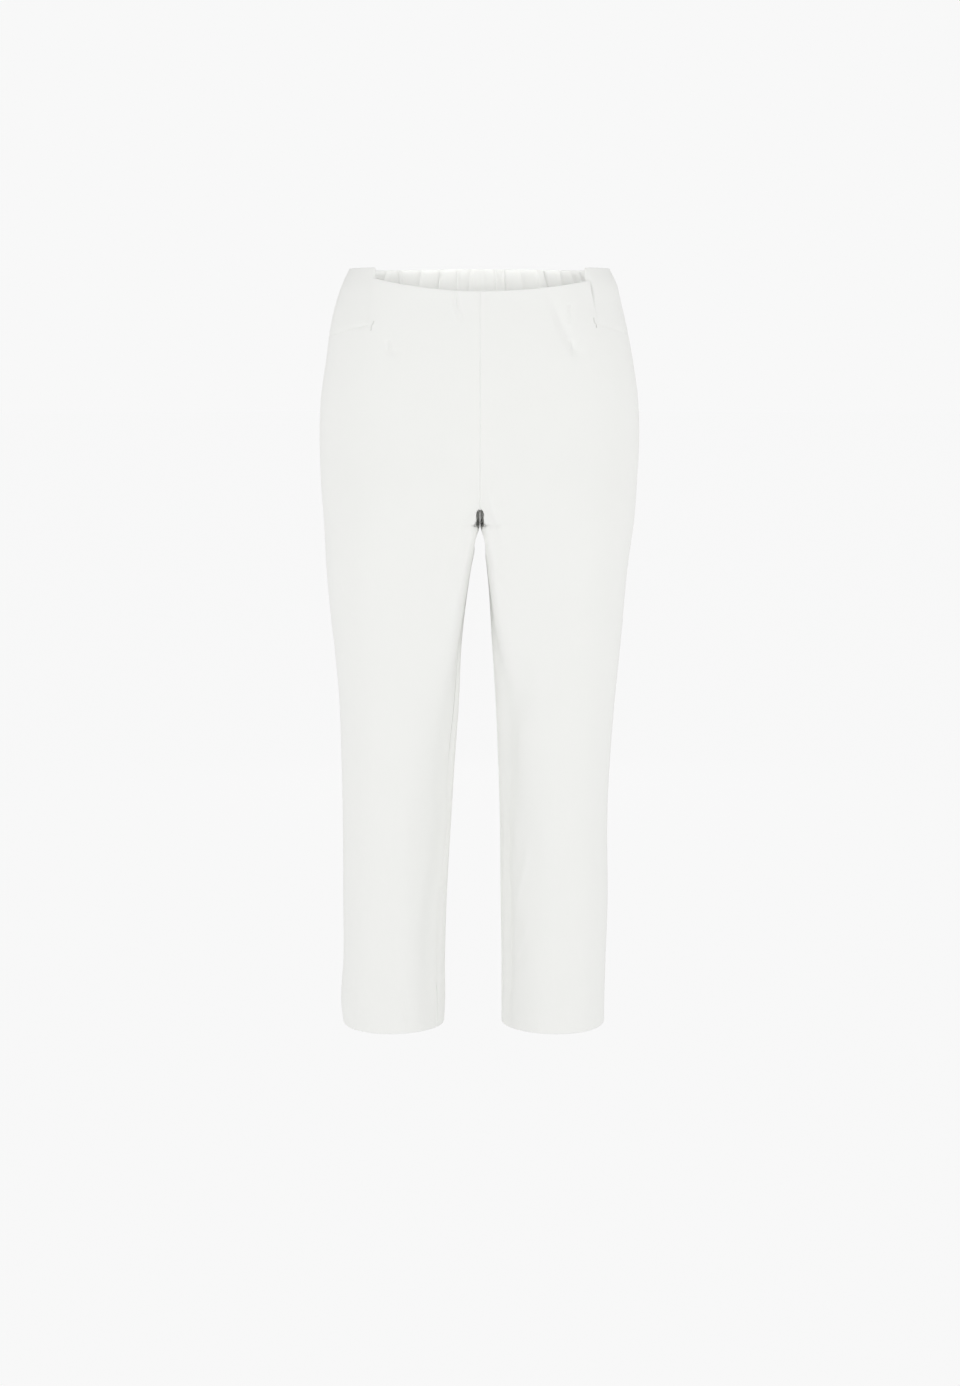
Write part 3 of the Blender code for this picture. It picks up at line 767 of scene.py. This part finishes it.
def rowHeights():
    # nominal heights: even rows down to the mouth's foot, then wider ones, close at crotch and hem
    start = cut["rimTop"] - cloth["bandWall"] / 2
    foot = cut["hem"] + cloth["bandWall"] / 2
    top = np.linspace(start, footRow, rowPlan["top"])
    places = [footRow, foot, foot + cloth["hemBand"], cut["crotch"], notch["bottom"]]
    leg = crowded(footRow, foot, rowPlan["foot"], places, rowPlan["crowding"])
    return np.append(top, leg[1:])


def columnShares(side, facing):
    # shares of the width, closer together at the mouth or the pinches, closest at the inner seam
    settings = columnPlan[facing]
    crowding = settings["crowding"]
    if facing == front:
        level = np.array([footRow])
        edge = atX(side, level, mouthCorner(side)[0])[0, 0] / evenWidth(side, front, level)[0]
        outer = crowded(0.0, edge, settings["toMouth"], [0.0, edge], crowding)
        inner = crowded(edge, 1.0, settings["fromMouth"], [edge, 1.0], crowding)
        shares = np.append(outer, inner[1:])
    else:
        shares = crowded(0.0, 1.0, settings["count"], pinchShares(side) + [0.0, 1.0], crowding)
    start = 1.0 - seamDips["columnReach"]
    close = np.linspace(start, 1.0, seamDips["columns"])
    return np.append(shares[shares < start - (close[1] - close[0]) / 2], close)


def panelGrid(side, facing, shares, heights):
    # the nominal grid: each point's distance from the side seam, the panel's width, and its level
    angles, run, _ = measureRows(side, facing, heights)
    width = evenWidth(side, facing, heights)[:, None]
    last = run[:, -1:] - np.where(heights <= cut["crotch"], seamStart, cloth["seamReach"])[:, None]
    missing = np.maximum((width - last) / width, cut["leastMissing"])
    power = np.minimum(cut["curveCrowding"], cut["crowdingLimit"] / missing)
    distance = seamStart + shares * (width - seamStart) + shares**power * (last - width)
    x = fromMiddle(side, heights[:, None], readRows(distance, run, angles))
    fade = 1.0 - ease(cut["rimTop"] - heights, *cut["rimFade"])
    level = heights[:, None] + fade[:, None] * (rimHeight(side, facing, x) - cut["rimTop"])
    return distance, run, angles, width, level


def fitMouth(side, distance, run, angles, level):
    # bends the grid near the pocket: one column follows the mouth's upright edge and one row its
    # foot. What that moves fades over the cloth around them.
    upper, lower, outer = slice(0, footAt + 1), slice(footAt, None), slice(0, edgeAt + 1)
    away = distance - distance[footAt, edgeAt]
    lift = mouthCorner(side)[1] - level[footAt, edgeAt]
    edgeLevel = level[upper, edgeAt]
    settle = 1.0 - ease(edgeLevel, edgeLevel[-1], edgeLevel[-1] + pocket["settle"])
    edgeLevel = edgeLevel + lift * settle
    target = atX(side, edgeLevel, mouthEdge(side, edgeLevel)[:, None], "angle")
    edgeMove = readRows(target, angles[upper], run[upper])[:, 0] - distance[upper, edgeAt]
    spreadIn = np.where(np.arange(level.shape[1]) < edgeAt, 1.0, bump(away, pocket["spread"]))
    footLevel = level[footAt, outer]
    footAngle = readRows(distance, run, angles)[footAt, outer]
    footMove = mouthFoot(side, fromMiddle(side, footLevel, footAngle)) - footLevel
    footMove = footMove + (lift - footMove[-1]) * bump(away[footAt, outer], pocket["cornerWidth"])
    above = np.arange(len(level))[:, None] < footAt
    spreadDown = np.where(above, 1.0, bump(level[footAt] - level, pocket["spreadDown"]))
    moveUp, moveIn = np.zeros((2, *level.shape))
    moveUp[upper] = (lift * settle)[:, None] * spreadIn[upper]
    moveIn[upper] = edgeMove[:, None] * spreadIn[upper]
    footLine = np.append(footMove, lift * spreadIn[footAt, edgeAt + 1 :])
    moveUp[lower] = footLine * spreadDown[lower]
    moveIn[lower] = edgeMove[-1] * spreadIn[lower] * spreadDown[lower]
    return distance + moveIn, level + moveUp


def panelName(side, facing):
    return ("front" if facing == front else "back") + word(side).capitalize()


def legPanel(side, facing):
    # a front or back leg from waist to hem, out to its seams, with a scooped mouth in front
    heights = rowHeights()
    shares = columnShares(side, facing)
    distance, run, angles, width, level = panelGrid(side, facing, shares, heights)
    keep, seamTop, topBand = None, 0, 0.0
    if facing == front:
        keep = np.ones((len(heights) - 1, len(shares) - 1), bool)
        keep[:footAt, :edgeAt] = False
        seamTop, topBand = footAt, cloth["topBand"]
        distance, level = fitMouth(side, distance, run, angles, level)
    angle = readRows(distance, run, angles)
    x = fromMiddle(side, heights[:, None], angle)
    fromSide, fromInner = shares * width, (1.0 - shares) * width
    drop = cut["rimTop"] - heights[:, None]
    relief = foldRelief(side, facing, fromSide, width, level)
    relief += creaseRelief(side, facing, x, level) + softUneven(side, facing, x, level)
    relief += seamRelief(side, facing, distance, fromInner, level)
    if facing == back:
        relief += gatherRelief(side, (1.0 - shares) * waistLength(side), drop, "out")
    points = raised(side, level, angle, relief)
    wall = wallThickness(np.minimum(fromSide, distance), fromInner, drop, level - cut["hem"], topBand)
    if facing == front:
        points[..., 1] += notchDepth(x, level)
        # pressed thin along the mouth
        inside = np.maximum(mouthEdge(side, level) - x, mouthFoot(side, x) - level)
        wall = wall + (pocket["edgeWall"] - wall) * (1.0 - ease(inside, 0.0, pocket["pressed"]))
    reach = wall / 2
    reach[:, -1] = cloth["seamReach"]
    reach[seamTop:, 0] = cloth["seamReach"]
    reach[0], reach[-1] = wall[0] / 2, wall[-1] / 2
    panels[side, facing] = points
    flat = np.stack([fromSide, level], axis=-1)
    name = panelName(side, facing)
    return clothShell(name, points, side * facing, wall, reach, flat, outerCloth, keep)


def finishPiece(piece, node):
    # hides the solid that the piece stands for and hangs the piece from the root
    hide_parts(node)
    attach(piece, "root")
    print(piece.name, "made,", len(piece.data.polygons), "faces")


panels = {}  # each panel's outer points, which the stitches follow
for side in (right, left):
    for facing in (front, back):
        node = ("front_" if facing == front else "back_") + word(side)
        finishPiece(legPanel(side, facing), node)

# Pocket facings, the hip pieces behind the mouths.
hip = {
    "columns": 74,
    "rows": 64,
    "closeAt": (0.0, 0.77),
    "crowding": (0.05, 1.5),
    "length": 90.0,
    "underlap": 30.0,
    "gap": 0.06,
    "clearance": 0.3,
    "thicken": (-1.0, 7.0),
    "easeHeight": (0.5, 5.0),
    "dive": {right: 22.0, left: 5.0},
    "flushMargin": 0.5,
    "gape": {right: (0.0, -10.0, 12.0), left: (2.2, -6.0, 13.0)},
    "tuck": 3.0,
    "edgeSlant": (0.8, 9.0),
    "fade": (0.0, 60.0),
    "sheet": ((0.15, 0.095), "hung", 0.0125),
}


def pocketFacing(side):
    # the hip piece behind the mouth: flush with the front at the side seam and under it elsewhere
    drop = np.linspace(cloth["wall"] / 2, hip["length"], hip["rows"])
    heights = cut["rimTop"] - drop
    angles, run, _ = measureRows(side, front, heights)
    edge = atX(side, heights, mouthEdge(side, np.maximum(heights, pocket["bendHeight"]))[:, None])
    edge = np.minimum(edge, edge.max())
    share = crowded(0.0, 1.0, hip["columns"], hip["closeAt"], hip["crowding"])
    distance = seamStart + share * (edge + hip["underlap"] - seamStart)
    angle = readRows(distance, run, angles)
    x = fromMiddle(side, heights[:, None], angle)
    hidden = ease(distance - edge, *hip["edgeSlant"])
    rim = hidden * (rimHeight(side, front, x) - hip["tuck"] - cut["rimTop"])
    level = heights[:, None] + (1.0 - ease(drop, *hip["fade"]))[:, None] * rim
    above = ease(level - mouthFoot(side, x), *hip["easeHeight"])
    dive = ease(distance, edge - hip["dive"][side], edge - hip["flushMargin"])
    flush = above * (1.0 - dive)
    width = evenWidth(side, front, heights)[:, None]
    relief = foldRelief(side, front, distance, width, level) + creaseRelief(side, front, x, level)
    relief += softUneven(side, front, x, level)
    inside = np.maximum(distance - edge, mouthFoot(side, x) - level)
    thick = cloth["bandWall"] + hip["clearance"]
    under = pocket["edgeWall"] + (thick - pocket["edgeWall"]) * ease(inside, *hip["thicken"])
    gape, gapeHeight, gapeRun = hip["gape"][side]
    under = under + hip["gap"] + gape * bump(level - gapeHeight, gapeRun)
    relief -= under * (1.0 - flush)
    relief += seamRelief(side, front, distance, farAway, level) * flush
    wall = np.full(distance.shape, cloth["wall"])
    reach = wall / 2
    reach[1:-1, 0] = cloth["seamReach"]
    flat = np.stack([distance, level], axis=-1)
    name = "pocketFacing" + word(side).capitalize()
    return clothShell(name, raised(side, level, angle, relief), side, wall, reach, flat, outerCloth)


for side in (right, left):
    finishPiece(pocketFacing(side), "pocket_facing_" + word(side))

casing = {
    "gap": 0.9,
    "height": 38.0,
    "rows": 30,
    "columns": 210,
    "crowding": (0.012, 2.5),
    "sewnRows": (29.0, 35.0),
    "sewnShare": 0.8,
    "sheet": ((0.44, 0.04), "gathered", 0.0172),
}


def casingHalf(side, drop):
    # one side of the casing's outer points, from the side seam to the centre back
    share = crowded(0.0, 1.0, casing["columns"], pinchShares(side), casing["crowding"])
    heights = cut["rimTop"] - drop
    angles, run, _ = measureRows(side, back, heights)
    distance = cloth["seamReach"] + share * (run[:, -1:] - cloth["seamReach"])
    angle = readRows(distance, run, angles)
    rim = rimHeight(side, back, fromMiddle(side, heights[:, None], angle))
    level = heights[:, None] + rim - cut["rimTop"]
    fromCentre = (1.0 - share) * waistLength(side) + 0 * distance
    sewn = 1.0 - casing["sewnShare"] * ease(drop, *casing["sewnRows"])[:, None]
    gathered = gatherRelief(side, fromCentre, drop[:, None], "in") * sewn
    points = raised(side, level, angle, -(cloth["wall"] + casing["gap"] + gathered))
    return points, np.stack([side * fromCentre, level], axis=-1)


def waistCasing():
    # the inner layer of the elastic casing, side seam to side seam round the back
    drop = np.linspace(cloth["wall"] / 2, casing["height"], casing["rows"])
    rightPoints, rightFlat = casingHalf(right, drop)
    leftPoints, leftFlat = casingHalf(left, drop)
    middle = (rightPoints[:, -1:] + leftPoints[:, -1:]) / 2
    points = np.concatenate([rightPoints[:, :-1], middle, leftPoints[:, -2::-1]], axis=1)
    flat = np.concatenate([rightFlat[:, :-1], leftFlat[:, ::-1]], axis=1)
    wall = np.full(points.shape[:2], cloth["wall"])
    return clothShell("waistCasing", points, 1, wall, wall / 2, flat, innerCloth)


finishPiece(waistCasing(), "waist_casing")

# Sewing. Heights are as the cloth hangs, and a stitch is its length and the gap after it.
sewing = {
    "radius": 0.17,
    "sides": 6,
    "rings": 7,
    "endMargin": 0.04,
    "lift": 1.3,
    "sink": 0.9,
    "tackPlaces": {right: (113.5, -39.0, -49.0), left: (120.5, -35.5, -46.0)},
    "tackWidth": 1.9,
    "tackStep": 0.36,
    "casingRows": (31.0, 35.0),
    "casingStitch": (2.5, 0.6),
    "hemHeight": 26.0,
    "hemStitch": (0.7, 8.3),
}


def onGrid(grid, row, column, short=0.001):
    # points between a grid's corners, each weighted by its nearness, a little short of the last
    row = np.clip(row, 0, grid.shape[0] - 1 - short)
    column = np.clip(column, 0, grid.shape[1] - 1 - short)
    above, before = row.astype(int), column.astype(int)
    down, along = (row - above)[..., None], (column - before)[..., None]
    upper = grid[above, before] * (1.0 - along) + grid[above, before + 1] * along
    lower = grid[above + 1, before] * (1.0 - along) + grid[above + 1, before + 1] * along
    return upper * (1.0 - down) + lower * down


def addStitches(name, side, facing, starts, ends, halfStep=0.5):
    # threads between pairs of grid places: a thin tube along each, sunk at both ends, its rings
    # set by the cloth's own normal and by the direction across it
    grid = panels[side, facing]
    share = np.linspace(0.0, 1.0, sewing["rings"])[None, :, None]
    places = starts[:, None] * (1.0 - share) + ends[:, None] * share
    row, column = places[..., 0], places[..., 1]
    centre = onGrid(grid, row, column)
    downward = onGrid(grid, row + halfStep, column) - centre
    across = onGrid(grid, row, column + halfStep) - centre
    normal = unit(side * facing * np.cross(across, downward))
    beside = unit(np.cross(normal, centre[:, -1:] - centre[:, :1]))
    margin = sewing["endMargin"]
    swell = np.sqrt(np.sin(math.pi * (margin + (1.0 - 2 * margin) * share)))
    centre = centre + normal * sewing["radius"] * (sewing["lift"] * swell - sewing["sink"])
    turn = 2 * math.pi * np.arange(sewing["sides"]) / sewing["sides"]
    spokes = np.cos(turn)[:, None] * beside[:, :, None] + np.sin(turn)[:, None] * normal[:, :, None]
    rings = centre[:, :, None] + sewing["radius"] * swell[..., None] * spokes
    number = np.arange(rings[..., 0].size).reshape(rings.shape[:3])
    turned = np.roll(number, -1, axis=2)
    walls = [number[:, :-1], turned[:, :-1], turned[:, 1:], number[:, 1:]]
    faces = [np.stack(walls, axis=-1).reshape(-1, 4)]
    for k in range(1, sewing["sides"] - 2, 2):
        faces += [number[:, 0][:, [0, k + 2, k + 1, k]], number[:, -1][:, [0, k, k + 1, k + 2]]]
    piece = addMesh(name, rings.reshape(-1, 3), np.concatenate(faces), None, thread)
    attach(piece, "root")
    print(name, "made,", len(starts), "stitches")


def barTack(side):
    # close level threads down the foot of the mouth's upright edge
    grid = panels[side, front]
    x, top, foot = sewing["tackPlaces"][side]
    away = (np.abs(grid[..., 0]) - x) ** 2 + (grid[..., 2] - (top + foot) / 2) ** 2
    column = np.unravel_index(np.argmin(away), away.shape)[1]
    heights = np.arange(top, foot, -sewing["tackStep"])
    rows = np.interp(-heights, -grid[:, column, 2], np.arange(len(grid)))
    step = np.linalg.norm(grid[int(rows[0]), column + 1] - grid[int(rows[0]), column])
    half = sewing["tackWidth"] / 2 / step
    ends = [np.stack([rows, column + reach + 0 * rows], axis=-1) for reach in (-half, half)]
    addStitches("barTack" + word(side).capitalize(), side, front, *ends)


def sewnLine(name, side, facing, height, stitch):
    # a row of stitches at a height from seam to seam
    grid = panels[side, facing]
    rows = np.array([np.interp(-height, -line, np.arange(len(line))) for line in grid[..., 2].T])
    columns = np.arange(len(rows), dtype=float)
    steps = np.linalg.norm(np.diff(onGrid(grid, rows, columns), axis=0), axis=-1)
    run = np.append(0.0, np.cumsum(steps))
    length, gap = stitch
    begin = np.arange(gap, run[-1] - length - gap, length + gap)
    ends = [
        np.stack([np.interp(at, run, rows), np.interp(at, run, columns)], axis=-1)
        for at in (begin, begin + length)
    ]
    addStitches(name, side, facing, *ends)


for side in (right, left):
    barTack(side)
    for number, drop in enumerate(sewing["casingRows"]):
        name = "casingStitches" + word(side).capitalize() + str(number + 1)
        sewnLine(name, side, back, cut["rimTop"] - drop, sewing["casingStitch"])
    for facing in (front, back):
        name = panelName(side, facing)
        name = "hemStitches" + name[0].upper() + name[1:]
        sewnLine(name, side, facing, cut["hem"] + sewing["hemHeight"], sewing["hemStitch"])

# Camera, light and floor.
camera = {"distance": 2.8, "height": -0.05, "aim": -0.4435, "lens": 66.77, "sensor": 36.0}
studio = {
    "white": 0.9387,
    "lightAbove": 0.54,
    "lightBelow": 0.725,
    "horizon": 0.35,
    "floor": -1.05,
    "floorRadius": 30.0,
    "floorCorners": 128,
    "floorDiffuse": 0.006,
}
lamps = {
    # name: place, size, power
    "rightFrontLamp": ((-2.5, -2.5, 0.2), 2.0, 30.8),
    "leftFrontLamp": ((2.5, -2.5, 0.2), 2.0, 31.8),
    "rightLamp": ((-3.2, 0.5, -0.2), 1.8, 12.0),
    "leftLamp": ((3.2, 0.5, -0.2), 1.8, 11.5),
    "lowLamp": ((0.0, -2.6, -1.3), 1.5, 3.6),
    "backLamp": ((0.0, 3.2, -0.3), 1.2, 20.0),
    "insideLamp": ((0.0, -2.6, 0.33), 2.8, 52.0),
}


def addCamera():
    data = bpy.data.cameras.new("camera")
    data.lens, data.sensor_width = camera["lens"], camera["sensor"]
    made = addObject("camera", data)
    made.location = (0.0, -camera["distance"], camera["height"])
    pitch = math.atan2(camera["aim"] - camera["height"], camera["distance"])
    made.rotation_euler = (math.pi / 2 + pitch, 0.0, 0.0)
    bpy.context.scene.camera = made


def addLamp(name):
    # a round lamp turned towards the middle of the trousers
    place, size, power = lamps[name]
    data = bpy.data.lights.new(name, "AREA")
    data.shape, data.size, data.energy = "DISK", size, power
    lamp = addObject(name, data)
    lamp.location = place
    aim = np.array([0.0, 0.0, camera["aim"]]) - place
    tilt = math.atan2(np.hypot(aim[0], aim[1]), -aim[2])
    lamp.rotation_euler = (tilt, 0.0, math.atan2(-aim[0], aim[1]))
    lamp.visible_camera = False


def addFloor():
    # a wide pale disc, mostly self-lit so that it meets the white room without a line
    corners = studio["floorCorners"]
    turn = np.linspace(0.0, 2 * math.pi, corners, endpoint=False)
    ring = np.stack([np.cos(turn), np.sin(turn)], axis=-1) * studio["floorRadius"]
    points = np.column_stack([ring, np.full(corners, studio["floor"])])
    mesh = bpy.data.meshes.new("floor")
    mesh.from_pydata(points.tolist(), [], [list(range(corners))])
    material, board = newMaterial("paleFloor")
    diffuse = studio["floorDiffuse"]
    board.cover(
        {
            "Base Color": (diffuse, diffuse, diffuse, 1.0),
            "Roughness": 1.0,
            "Specular IOR Level": 0.0,
            "Emission Color": (1.0, 1.0, 1.0, 1.0),
            "Emission Strength": studio["white"] - diffuse,
        }
    )
    mesh.materials.append(material)
    floor = addObject("floor", mesh)
    floor.visible_diffuse = floor.visible_glossy = floor.visible_shadow = False


def addRoom():
    # a white room: even where the camera sees it, and as a light brighter below than above
    world = bpy.data.worlds.new("whiteRoom")
    world.use_nodes = True
    board = Board(world.node_tree)
    direction = board.node("ShaderNodeTexCoord", {}, {}, 0)
    upward = board.node("ShaderNodeSeparateXYZ", {}, {0: direction}, 2)
    level = board.node(
        "ShaderNodeMapRange",
        {"interpolation_type": "SMOOTHSTEP"},
        {
            "Value": upward,
            "From Min": -studio["horizon"],
            "From Max": studio["horizon"],
            "To Min": studio["lightBelow"],
            "To Max": studio["lightAbove"],
        },
    )
    seen = board.node("ShaderNodeLightPath", {}, {})
    strength = board.node("ShaderNodeMix", {}, {0: seen, 2: level, 3: studio["white"]})
    board.cover({"Color": (1.0, 1.0, 1.0, 1.0), "Strength": strength}, "Background")
    bpy.context.scene.world = world
    bpy.context.scene.view_settings.view_transform = "Standard"


addCamera()
for name in lamps:
    addLamp(name)
onlyInside = bpy.data.collections.new("onlyInside")  # the inside lamp lights the casing alone
onlyInside.objects.link(bpy.data.objects["waistCasing"])
bpy.data.objects["insideLamp"].light_linking.receiver_collection = onlyInside
addFloor()
addRoom()
print("camera, light and floor made")
